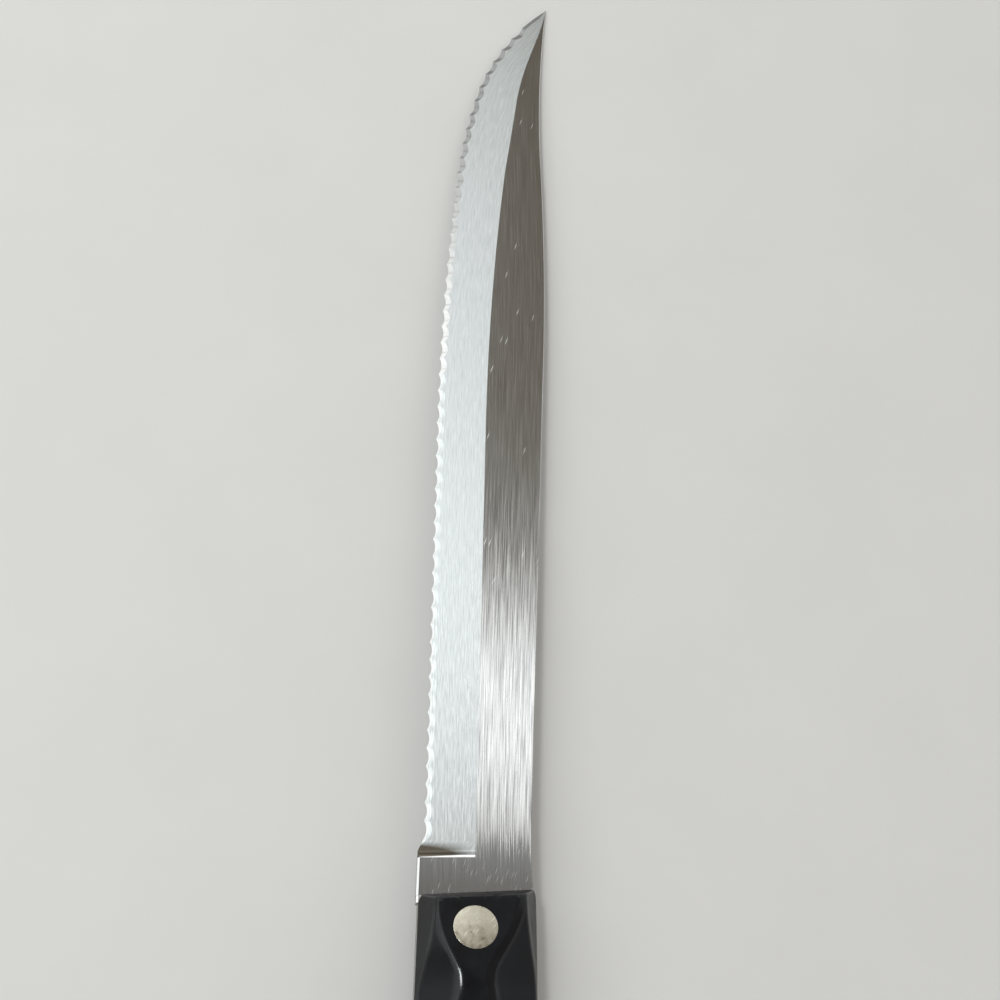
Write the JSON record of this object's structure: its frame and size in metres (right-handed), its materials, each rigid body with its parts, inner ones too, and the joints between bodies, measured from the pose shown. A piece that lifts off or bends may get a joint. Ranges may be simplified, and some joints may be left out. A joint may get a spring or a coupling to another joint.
{
  "type": "carving knife",
  "caption": "Long serrated carving knife: slender upswept blade with a ground bevel, full tang between two contoured black resin scales held by flush compression rivets.",
  "frame": {"origin": "middle of the blade's thickness and of its width at the root, where the blade leaves the handle's front end", "axes": "+Y along the blade to the tip, +X to the spine, +Z out of the blade's scalloped face; the knife lies on its side"},
  "size_m": [0.0289, 0.3507, 0.017],
  "materials": {
    "steel": "satin ground stainless steel with fine lengthwise brush marks",
    "resin": "moulded black resin, worn to a soft sheen",
    "rivet": "nickel silver, ground flush and lightly scratched"
  },
  "bodies": {
    "root": {"blade": "steel", "upper_scale": "resin", "lower_scale": "resin", "front_rivet_tube": "rivet", "front_rivet_post": "rivet", "middle_rivet_tube": "rivet", "middle_rivet_post": "rivet", "rear_rivet_tube": "rivet", "rear_rivet_post": "rivet"}
  },
  "joints": []
}
